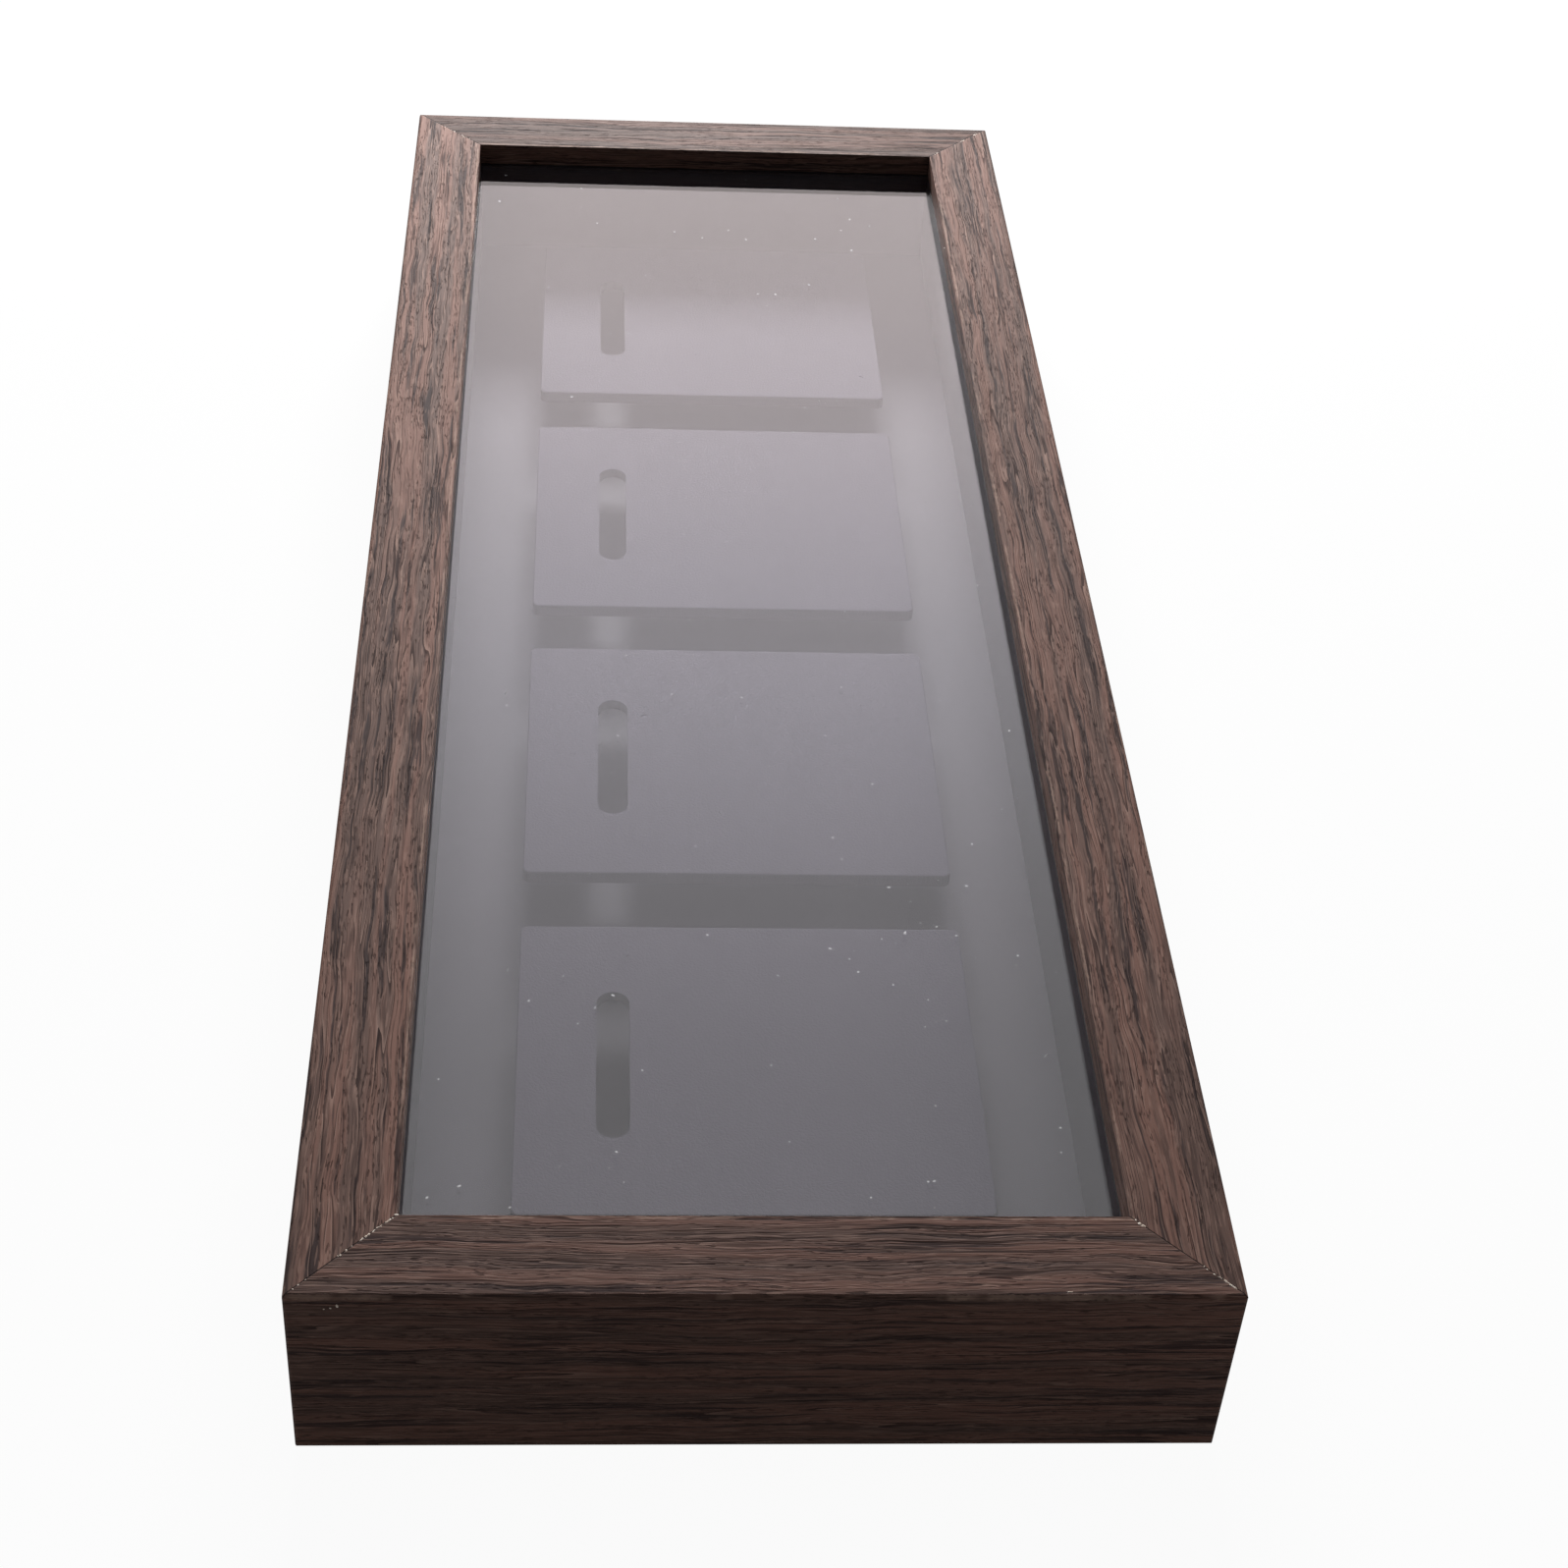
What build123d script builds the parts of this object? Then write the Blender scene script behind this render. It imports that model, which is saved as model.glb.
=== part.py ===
"""Medal display case: a glazed box frame with four raised, slotted plaques.

The case lies on its back with its face up. The origin is the middle of its back, X is across it,
Y along it and Z up through the face. The side at -X is the top when the case hangs on a wall.
All sizes are in millimetres.
"""

import os
from dataclasses import dataclass

from build123d import *

# Case, outside
case_length = 530.0
case_width = 200.0
case_depth = 50.0
case_corner_radius = 0.8

# Section of the frame moulding
face_width = 22.0
lip_depth = 7.0
rebate_width = 5.0
outer_edge_radius = 1.0
lip_edge_radius = 1.5
recess_wall = 5.0  # thickness of the wall round the recess in the back
recess_depth = 4.0

# V-nails across the mitres
v_nail_leg = 3.6
v_nail_thickness = 0.5
v_nail_height = 10.0
v_nail_places = (0.25, 0.75)  # shares of the ledge's width

# What drops into the rebate, from the face to the back
pane_thickness = 2.0
display_cover_thickness = 0.5
display_board_thickness = 3.0
rear_panel_thickness = 2.5
drop_in_clearance = 0.5  # from the pane and the boards to each wall of the rebate
liner_clearance = 0.2  # at the ends of the liner strips

# Plaques
plaque_count = 4
plaque_margin = 23.0  # plaque to liner
plaque_gap = 20.0  # plaque to plaque
plaque_board_thickness = 2.5
plaque_cover_thickness = 0.45
plaque_corner_radius = 2.0
slot_length = 48.0
slot_width = 8.0
slot_from_top = 23.0  # plaque's top edge to the middle of its slot
spacer_height = 10.0
spacer_width = 6.0
spacer_to_slot = 1.0  # past each end of the slot
ribbon_room = 6.0  # from the slot's side to the ends of the spacers
turn_in_clearance = 0.5  # folded edge of the plaque's cover to the spacers

# Turn buttons
button_reach = 19.5  # pivot to tip
button_thickness = 1.2
button_side_clearance = 1.5  # turned aside, to the recess wall and to the edge of the ledge
button_edge_radius = 0.3
button_from_corner = 85.0  # outermost buttons of a long rail
button_lip_thickness = 1.2  # finger lip near the tip
button_lip_width = 4.5
button_lip_height = 1.3
button_lip_from_tip = 2.0

# Screws
button_screw_radius = 1.5
button_screw_length = 12.0
button_head_radius = 3.0
button_head_height = 1.6
hanger_screw_radius = 1.25
hanger_screw_length = 10.0
hanger_head_radius = 2.3
hanger_head_height = 1.1
screw_point_length = 2.5
head_brim_share = 0.35  # straight part of a head's height
pilot_clearance = 0.05
pilot_extra_depth = 0.8
cross_recess_width = 0.7  # of one bar of the recess in a screw's head
cross_recess_share = 0.65  # its length, as a share of the head's width
cross_recess_depth = 0.7

# Hangers
strap_width = 8.0
strap_length = 24.0
strap_thickness = 0.8
strap_end_radius = 3.0
strap_screw_places = (7.5, 17.5)  # from the ring's bar
hanger_from_top = 38.0  # case's top face to the ring's bar
ring_wire_radius = 0.9
ring_inner_width = 8.8
ring_leg = 4.0  # bar to the start of the bow
ring_bend_radius = 1.2
ring_to_wall = 0.8

# Running fits
running_clearance = 0.08  # on the radius
stack_clearance = 0.05  # above and below a turn button

# Heights above the back, and depths in from an outer face
rear_panel_front = recess_depth + rear_panel_thickness
display_board_front = rear_panel_front + display_board_thickness
display_front = display_board_front + display_cover_thickness
lip_back = case_depth - lip_depth
pane_back = lip_back - pane_thickness
rebate_depth = face_width - rebate_width
ledge_width = rebate_depth - recess_wall
ledge_middle = recess_wall + ledge_width / 2

# What shows inside the frame, and what drops in behind it
sight_length = case_length - 2 * face_width
sight_width = case_width - 2 * face_width
drop_in_length = case_length - 2 * (rebate_depth + drop_in_clearance)
drop_in_width = case_width - 2 * (rebate_depth + drop_in_clearance)

# Plaques, from the room that the margins and gaps leave
plaque_width = sight_width - 2 * plaque_margin
plaque_length = (sight_length - 2 * plaque_margin - (plaque_count - 1) * plaque_gap) / plaque_count
plaque_pitch = plaque_length + plaque_gap
plaque_board_back = display_front + spacer_height
slot_middle = slot_from_top - plaque_width / 2
spacer_offset = slot_length / 2 + spacer_to_slot + spacer_width / 2
turn_in = plaque_length / 2 - spacer_offset - spacer_width / 2 - turn_in_clearance
spacer_high = plaque_width / 2 - turn_in - turn_in_clearance
spacer_low = slot_middle + slot_width / 2 + ribbon_room

# Hardware in the recess
button_width = ledge_width - 2 * button_side_clearance
button_front = recess_depth - stack_clearance - button_thickness
button_head_seat = button_front - stack_clearance
knuckle_bore = ring_wire_radius + running_clearance
knuckle_radius = knuckle_bore + strap_thickness
ring_half_width = ring_inner_width / 2 + ring_wire_radius
ring_height = recess_depth - knuckle_radius
ring_depth = recess_wall + ring_to_wall + ring_half_width + ring_wire_radius

UP = Vector(0, 0, 1)


@dataclass
class Side:
    """One side of the case: its rail, and what is screwed to the back of it."""

    name: str
    angle: float  # turn about Z that takes +X to the way inwards
    reach: float  # from the middle of the case to the outer face
    length: float
    buttons: tuple  # places along the rail, from its middle
    straps: tuple = ()  # the same for the ring's bar of each hanger

    def __post_init__(self):
        self.inward = Vector(1, 0, 0).rotate(Axis.Z, self.angle)
        self.along = Vector(abs(self.inward.Y), abs(self.inward.X), 0)

    def point(self, depth, along, height):
        """The point that far in from the outer face, along the rail and up from the back."""
        return self.inward * (depth - self.reach) + self.along * along + UP * height

    def button_screws(self):
        """Where the heads of the button screws sit."""
        return [self.point(ledge_middle, place, button_head_seat) for place in self.buttons]

    def strap_screws(self):
        """Where the heads of the strap screws sit."""
        seat = recess_depth - strap_thickness
        return [self.point(ring_depth, bar + x, seat) for bar in self.straps for x in strap_screw_places]


outer_button = case_length / 2 - button_from_corner
long_buttons = (-outer_button, 0.0, outer_button)
short_buttons = (0.0,)
ring_bars = (hanger_from_top - case_width / 2,)
sides = [
    Side("top", 0, case_width / 2, case_length, long_buttons),
    Side("bottom", 180, case_width / 2, case_length, long_buttons),
    Side("left", 90, case_length / 2, case_width, short_buttons, ring_bars),
    Side("right", -90, case_length / 2, case_width, short_buttons, ring_bars),
]
plaque_middles = [(i - (plaque_count - 1) / 2) * plaque_pitch for i in range(plaque_count)]

pieces = []


def keep(part, name):
    """Labels a finished piece and keeps it for export."""
    part.label = name
    pieces.append(part)


def make_block(width, length, low, high, middle=(0.0, 0.0)):
    """A plain rectangular board between two heights."""
    with BuildPart() as block:
        with BuildSketch(Plane.XY.offset(low)):
            with Locations(middle):
                Rectangle(width, length)
        extrude(amount=high - low)
    return block.part


def make_screw(radius, length, head_radius, head_height):
    """A pan-head wood screw: the seat of its head is at the origin and its point is up."""
    brim = head_height * head_brim_share
    with BuildPart() as screw:
        with BuildSketch(Plane.XZ):
            with BuildLine():
                Line((0, -head_height), (0, length))
                Line((0, length), (radius, length - screw_point_length))
                Line((radius, length - screw_point_length), (radius, 0))
                Line((radius, 0), (head_radius, 0))
                Line((head_radius, 0), (head_radius, -brim))
                TangentArc((0, -head_height), (head_radius, -brim), tangent=(1, 0))
            make_face()
        revolve(axis=Axis.Z)
        with BuildSketch(Plane.XY.offset(-head_height)):
            for turn in (0, 90):
                Rectangle(cross_recess_share * 2 * head_radius, cross_recess_width, rotation=turn)
        extrude(amount=cross_recess_depth, mode=Mode.SUBTRACT)
    return screw.part


def make_v_nails():
    """Bent steel nails, flush with the ledge, two across each mitre."""
    corners = {0: (-1, -1), 90: (1, -1), 180: (1, 1), 270: (-1, 1)}
    depths = [recess_wall + share * ledge_width for share in v_nail_places]
    with BuildPart() as nails:
        with BuildSketch(Plane.XY.offset(recess_depth)):
            for turn, (x, y) in corners.items():
                for depth in depths:
                    bend = (x * (case_width / 2 - depth), y * (case_length / 2 - depth))
                    with Locations(Location(bend, turn)):
                        Rectangle(v_nail_leg, v_nail_thickness, align=Align.MIN)
                        Rectangle(v_nail_thickness, v_nail_leg, align=Align.MIN)
        extrude(amount=v_nail_height)
    return nails.part


def make_rail(side, v_nails):
    """One side of the frame, mitred, with its V-nail cuts and pilot holes."""
    middle = side.point(0, 0, 0)
    end = side.length / 2
    with BuildPart() as rail:
        with BuildSketch(Plane(middle, x_dir=side.inward, z_dir=side.inward.cross(UP))) as section:
            with BuildLine():
                Polyline(
                    (0, 0),
                    (recess_wall, 0),
                    (recess_wall, recess_depth),
                    (rebate_depth, recess_depth),
                    (rebate_depth, lip_back),
                    (face_width, lip_back),
                    (face_width, case_depth),
                    (0, case_depth),
                    close=True,
                )
            make_face()
            outer_corners = section.vertices().group_by(Axis.X)[0]
            lip_corner = section.vertices().group_by(Axis.X)[-1].sort_by(Axis.Y)[-1]
            fillet(outer_corners, outer_edge_radius)
            fillet(lip_corner, lip_edge_radius)
        extrude(amount=end, both=True)
        with BuildSketch():
            RectangleRounded(case_width, case_length, case_corner_radius)
        extrude(amount=case_depth, mode=Mode.INTERSECT)
        with BuildSketch(Plane(middle, x_dir=side.inward, z_dir=UP)):
            mitred_end = end - face_width
            Polygon((0, -end), (face_width, -mitred_end), (face_width, mitred_end), (0, end), align=None)
        extrude(amount=case_depth, mode=Mode.INTERSECT)
        add(v_nails, mode=Mode.SUBTRACT)
        cut_pilot_holes(side.button_screws(), button_screw_radius, button_screw_length)
        cut_pilot_holes(side.strap_screws(), hanger_screw_radius, hanger_screw_length)
    return rail.part


def cut_pilot_holes(seats, screw_radius, screw_length):
    """Cuts the holes of the screws whose heads sit at these places."""
    if seats:
        with Locations(*seats):
            Cylinder(
                screw_radius + pilot_clearance,
                screw_length + pilot_extra_depth,
                align=(Align.CENTER, Align.CENTER, Align.MIN),
                mode=Mode.SUBTRACT,
            )


def make_liner(side):
    """A black strip that makes an inner wall. The side strips stand between the long ones."""
    is_long = side.name in ("top", "bottom")
    room = side.length - 2 * (rebate_depth if is_long else face_width)
    start = side.point(rebate_depth, -room / 2 + liner_clearance, 0)
    stop = side.point(face_width, room / 2 - liner_clearance, 0)
    width, length = abs(stop.X - start.X), abs(stop.Y - start.Y)
    middle = (start + stop) / 2
    return make_block(width, length, display_front, pane_back, (middle.X, middle.Y))


def make_display_cover(board):
    """The cloth on the front and over the edges of the display board."""
    with BuildPart() as cover:
        with BuildSketch(Plane.XY.offset(rear_panel_front)):
            Rectangle(drop_in_width, drop_in_length)
        extrude(amount=display_board_thickness + display_cover_thickness)
        add(board, mode=Mode.SUBTRACT)
    return cover.part


def make_slot(middle):
    """The space of a ribbon slot, from the display board to the pane."""
    with BuildPart() as slot:
        with BuildSketch(Plane.XY.offset(display_front)):
            with Locations((slot_middle, middle)):
                SlotOverall(slot_length, slot_width, rotation=90)
        extrude(amount=pane_back - display_front)
    return slot.part


def make_plaque_board(middle):
    """The stiff board inside a plaque's cover."""
    inset = 2 * plaque_cover_thickness
    with BuildPart() as board:
        with BuildSketch(Plane.XY.offset(plaque_board_back)):
            with Locations((0, middle)):
                RectangleRounded(
                    plaque_width - inset, plaque_length - inset, plaque_corner_radius - plaque_cover_thickness
                )
        extrude(amount=plaque_board_thickness)
        add(make_slot(middle), mode=Mode.SUBTRACT)
    return board.part


def make_plaque_cover(middle, board):
    """Leatherette over the front and the edges of a plaque, turned in behind it."""
    with BuildPart() as cover:
        with BuildSketch(Plane.XY.offset(plaque_board_back - plaque_cover_thickness)):
            with Locations((0, middle)):
                RectangleRounded(plaque_width, plaque_length, plaque_corner_radius)
        extrude(amount=plaque_board_thickness + 2 * plaque_cover_thickness)
        fillet(cover.faces().sort_by(Axis.Z)[-1].edges(), plaque_cover_thickness)
        add(board, mode=Mode.SUBTRACT)
        with BuildSketch(Plane.XY.offset(plaque_board_back - plaque_cover_thickness)):
            with Locations((0, middle)):
                Rectangle(plaque_width - 2 * turn_in, plaque_length - 2 * turn_in)
        extrude(amount=plaque_cover_thickness, mode=Mode.SUBTRACT)
        add(make_slot(middle), mode=Mode.SUBTRACT)
    return cover.part


def make_turn_button():
    """A stamped turning clip, with its pivot at the origin, its tip at +X and its back at z = 0."""
    with BuildPart() as button:
        with BuildSketch():
            with Locations(((button_reach - button_width / 2) / 2, 0)):
                SlotOverall(button_reach + button_width / 2, button_width)
        extrude(amount=-button_thickness)
        fillet(button.faces().sort_by(Axis.Z)[0].edges(), button_edge_radius)
        with BuildSketch(Plane.XY.offset(-button_thickness)):
            with Locations((button_reach - button_lip_from_tip, 0)):
                Rectangle(button_lip_thickness, button_lip_width)
        extrude(amount=-button_lip_height)
        fillet(button.faces().sort_by(Axis.Z)[0].edges(), button_edge_radius)
        Cylinder(button_screw_radius + running_clearance, 2 * button_thickness, mode=Mode.SUBTRACT)
    return button.part


def make_hanger_strap():
    """A strap rolled round the ring's bar. The bar is on the Y axis, and the ledge is above."""
    with BuildPart() as strap:
        with BuildSketch(Plane.XZ):
            Circle(knuckle_radius)
            with Locations((0, knuckle_radius)):
                Rectangle(strap_length, strap_thickness, align=(Align.MIN, Align.MAX))
            Circle(knuckle_bore, mode=Mode.SUBTRACT)
        extrude(amount=strap_width / 2, both=True)
        fillet(strap.edges().filter_by(Axis.Z).group_by(Axis.X)[-1], strap_end_radius)
        with Locations(*[(place, 0, knuckle_radius) for place in strap_screw_places]):
            Cylinder(hanger_screw_radius + pilot_clearance, 2 * strap_thickness, mode=Mode.SUBTRACT)
    return strap.part


def make_hanger_ring():
    """A D-ring lying flat, with its bar on the Y axis and its bow towards -X."""
    corner = ring_half_width - ring_bend_radius
    with BuildPart() as ring:
        with BuildLine() as half:
            Line((0, 0), (0, corner))
            CenterArc((-ring_bend_radius, corner), ring_bend_radius, 0, 90)
            Line((-ring_bend_radius, ring_half_width), (-ring_leg, ring_half_width))
            CenterArc((-ring_leg, 0), ring_half_width, 90, 90)
        with BuildSketch(Plane.XZ):
            Circle(ring_wire_radius)
        sweep(path=half.line)
        mirror(about=Plane.XZ)
    return ring.part


def place_copy(part, *places):
    """Copies of a piece at these places, as one part."""
    with BuildPart() as placed:
        with Locations(*places):
            add(part)
    return placed.part


# Frame
v_nails = make_v_nails()
keep(v_nails, "v_nails")
for side in sides:
    keep(make_rail(side, v_nails), f"rail_{side.name}")

# Pane, liner strips and boards
keep(make_block(drop_in_width, drop_in_length, pane_back, lip_back), "pane")
for side in sides:
    keep(make_liner(side), f"liner_{side.name}")
display_board = make_block(
    drop_in_width - 2 * display_cover_thickness,
    drop_in_length - 2 * display_cover_thickness,
    rear_panel_front,
    display_board_front,
)
keep(display_board, "display_board")
keep(make_display_cover(display_board), "display_board_cover")
keep(make_block(drop_in_width, drop_in_length, recess_depth, rear_panel_front), "rear_panel")

# Plaques
for number, middle in enumerate(plaque_middles, start=1):
    plaque_board = make_plaque_board(middle)
    keep(plaque_board, f"plaque_{number}_board")
    keep(make_plaque_cover(middle, plaque_board), f"plaque_{number}_cover")
    for name, place in (("left", middle - spacer_offset), ("right", middle + spacer_offset)):
        spacer = make_block(
            spacer_high - spacer_low,
            spacer_width,
            display_front,
            plaque_board_back,
            ((spacer_low + spacer_high) / 2, place),
        )
        keep(spacer, f"spacer_{number}_{name}")

# Turn buttons and their screws
turn_button = make_turn_button()
button_screw = make_screw(button_screw_radius, button_screw_length, button_head_radius, button_head_height)
for side in sides:
    for number, place in enumerate(side.buttons, start=1):
        name = f"turn_button_{side.name}_{number}"
        pivot = side.point(ledge_middle, place, recess_depth - stack_clearance)
        keep(place_copy(turn_button, Location(pivot, (0, 0, side.angle))), name)
keep(place_copy(button_screw, *[seat for side in sides for seat in side.button_screws()]), "button_screws")

# Hangers
hanger_strap = make_hanger_strap()
hanger_ring = make_hanger_ring()
hanger_screw = make_screw(hanger_screw_radius, hanger_screw_length, hanger_head_radius, hanger_head_height)
for side in sides:
    for bar in side.straps:
        pivot = side.point(ring_depth, bar, ring_height)
        keep(place_copy(hanger_strap, pivot), f"hanger_strap_{side.name}")
        keep(place_copy(hanger_ring, pivot), f"hanger_ring_{side.name}")
keep(place_copy(hanger_screw, *[seat for side in sides for seat in side.strap_screws()]), "hanger_screws")

os.makedirs("parts", exist_ok=True)
for piece in pieces:
    export_step(piece, f"parts/{piece.label}.step")
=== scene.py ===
"""The looks of a medal display case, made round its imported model. Sizes are in metres."""
import math
import random

import bmesh
import bpy
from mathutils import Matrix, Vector


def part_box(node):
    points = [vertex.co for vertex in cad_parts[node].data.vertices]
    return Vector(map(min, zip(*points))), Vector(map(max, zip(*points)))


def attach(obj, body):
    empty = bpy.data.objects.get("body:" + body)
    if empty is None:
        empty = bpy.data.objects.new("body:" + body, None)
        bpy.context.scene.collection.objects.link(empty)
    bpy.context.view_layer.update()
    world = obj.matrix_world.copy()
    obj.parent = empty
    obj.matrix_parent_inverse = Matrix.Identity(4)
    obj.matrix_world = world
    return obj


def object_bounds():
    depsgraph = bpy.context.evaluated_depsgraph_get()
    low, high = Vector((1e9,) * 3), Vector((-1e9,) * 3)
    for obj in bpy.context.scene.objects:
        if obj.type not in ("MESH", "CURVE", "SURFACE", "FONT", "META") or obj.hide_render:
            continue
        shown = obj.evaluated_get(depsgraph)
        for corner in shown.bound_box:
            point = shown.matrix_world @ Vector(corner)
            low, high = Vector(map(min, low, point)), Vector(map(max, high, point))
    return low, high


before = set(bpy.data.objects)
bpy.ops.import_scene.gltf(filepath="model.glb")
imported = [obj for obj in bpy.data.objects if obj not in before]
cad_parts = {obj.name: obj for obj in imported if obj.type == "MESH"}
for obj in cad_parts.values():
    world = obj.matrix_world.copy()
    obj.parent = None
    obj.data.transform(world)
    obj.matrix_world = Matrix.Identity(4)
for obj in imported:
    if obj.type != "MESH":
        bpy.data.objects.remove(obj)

MM = 0.001
PER_MM = 1 / MM
UP = Vector((0, 0, 1))

# The case as it was loaded
CASE_LOW, CASE_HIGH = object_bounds()
HALF_WIDTH, HALF_LENGTH, FACE = CASE_HIGH
RAIL_LOW, RAIL_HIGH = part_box("rail_top")
FACE_WIDTH = RAIL_HIGH.x - RAIL_LOW.x
PANE_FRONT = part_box("pane")[1].z
LIP_RADIUS = 1.5 * MM

# Each rail's way out of the case, the way that its grain runs, and the share of painted shade that darkens
# its length of foil
RAILS = {
    "rail_top": (Vector((-1, 0, 0)), Vector((0, 1, 0)), 0.0),
    "rail_bottom": (Vector((1, 0, 0)), Vector((0, 1, 0)), 0.14),
    "rail_left": (Vector((0, -1, 0)), Vector((1, 0, 0)), 0.31),
    "rail_right": (Vector((0, 1, 0)), Vector((1, 0, 0)), 0.44),
}


def srgb(red, green, blue):
    """The linear colour of screen values from 0 to 255."""
    shares = [value / 255 for value in (red, green, blue)]
    linear = [s / 12.92 if s <= 0.04045 else ((s + 0.055) / 1.055) ** 2.4 for s in shares]
    return (*linear, 1.0)


# Node trees


class Tree:
    """Short calls that add nodes to a tree. A value is a plain one or another node's output."""

    def __init__(self, tree):
        self.tree = tree

    def put(self, socket, value):
        """Links or sets one input."""
        if isinstance(value, bpy.types.NodeSocket):
            self.tree.links.new(value, socket)
        else:
            socket.default_value = value

    def node(self, kind, values, **settings):
        """A node with these settings and input values."""
        made = self.tree.nodes.new("ShaderNode" + kind)
        for name, value in settings.items():
            setattr(made, name, value)
        for name, value in values.items():
            self.put(made.inputs[name], value)
        return made

    def math(self, operation, a, b=0.0, c=0.0):
        return self.node("Math", {0: a, 1: b, 2: c}, operation=operation).outputs[0]

    def vector(self, operation, a, b):
        return self.node("VectorMath", {0: a, 1: b}, operation=operation).outputs["Vector"]

    def along(self, vector, direction):
        """How far a point lies along a direction."""
        return self.node("VectorMath", {0: vector, 1: direction}, operation="DOT_PRODUCT").outputs["Value"]

    def join(self, x, y, z=0.0):
        return self.node("CombineXYZ", {0: x, 1: y, 2: z}).outputs[0]

    def split(self, vector):
        return self.node("SeparateXYZ", {0: vector}).outputs

    def fade(self, value, low, high, start=0.0, end=1.0):
        """start up to low, end from high on, and a smooth change between them."""
        values = {"Value": value, "From Min": low, "From Max": high, "To Min": start, "To Max": end}
        return self.node("MapRange", values, interpolation_type="SMOOTHSTEP").outputs["Result"]

    def mix(self, share, a, b):
        """Colour a, turned into colour b by a share."""
        return self.node("Mix", {0: share, 6: a, 7: b}, data_type="RGBA").outputs[2]

    def noise(self, vector, detail=2.0, roughness=0.5, flat=False):
        """Noise with one wave to each unit of its vector."""
        values = {"Vector": vector, "Scale": 1.0, "Detail": detail, "Roughness": roughness}
        made = self.node("TexNoise", values, noise_dimensions="2D" if flat else "3D")
        return made.outputs[0]

    def cells(self, vector, output="Distance", feature="F1"):
        """Voronoi cells, one to each unit of their vector."""
        return self.node("TexVoronoi", {"Vector": vector, "Scale": 1.0}, feature=feature).outputs[output]

    def group(self, group, **values):
        """A placed node group's outputs."""
        made = self.node("Group", {}, node_tree=group.tree)
        for name, value in values.items():
            self.put(made.inputs[name], value)
        return made.outputs


class Group(Tree):
    """A shader node group, with its named inputs and outputs."""

    KINDS = {"vector": "NodeSocketVector", "value": "NodeSocketFloat", "colour": "NodeSocketColor"}

    def __init__(self, name, inputs, outputs):
        super().__init__(bpy.data.node_groups.new(name, "ShaderNodeTree"))
        for way, sockets in (("INPUT", inputs), ("OUTPUT", outputs)):
            for label, kind in sockets.items():
                self.tree.interface.new_socket(label, in_out=way, socket_type=self.KINDS[kind])
        self.given = self.tree.nodes.new("NodeGroupInput").outputs
        self.results = self.tree.nodes.new("NodeGroupOutput").inputs

    def give(self, **values):
        for name, value in values.items():
            self.put(self.results[name], value)


class Material(Tree):
    """A material with one Principled shader."""

    def __init__(self, name, **plain):
        self.material = bpy.data.materials.new(name)
        self.material.use_nodes = True
        super().__init__(self.material.node_tree)
        self.shader = self.tree.nodes["Principled BSDF"]
        self.place = self.node("TexCoord", {}).outputs["Object"]
        self.finish(**plain)

    def finish(self, **values):
        """Sets or links the shader's inputs, whose spaces are written as underscores."""
        for name, value in values.items():
            self.put(self.shader.inputs[name.replace("_", " ")], value)

    def relief(self, height, depth):
        """A bump whose height runs from 0 to 1 over a depth in metres."""
        bump = self.node("Bump", {"Height": height, "Distance": depth})
        self.put(self.shader.inputs["Normal"], bump.outputs["Normal"])


# Effects that more than one material uses


def make_wrap_places():
    """Where a point lies on the foil of a rail, as it was before the foil was folded round the moulding."""
    g = Group(
        "wrap_places",
        {
            "Vector": "vector",
            "Outward": "vector",
            "Grain": "vector",
            "Reach": "value",
            "End": "value",
            "Start": "value",
        },
        {"Foil": "vector", "Inset": "value", "Mitre": "value"},
    )
    point = g.given["Vector"]
    run = g.along(point, g.given["Grain"])
    inset = g.math("SUBTRACT", g.given["Reach"], g.along(point, g.given["Outward"]))
    drop = g.math("SUBTRACT", FACE, g.split(point)["Z"])
    side = g.math("SIGN", g.math("SUBTRACT", inset, FACE_WIDTH / 2))
    across = g.math("MULTIPLY_ADD", drop, side, inset)
    to_end = g.math("SUBTRACT", g.given["End"], g.math("ABSOLUTE", run))
    mitre = g.math("DIVIDE", g.math("SUBTRACT", to_end, inset), math.sqrt(2))
    foil = g.join(g.math("ADD", run, g.given["Start"]), g.math("ADD", across, g.given["Start"]))
    g.give(Foil=foil, Inset=inset, Mitre=mitre)
    return g


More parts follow.
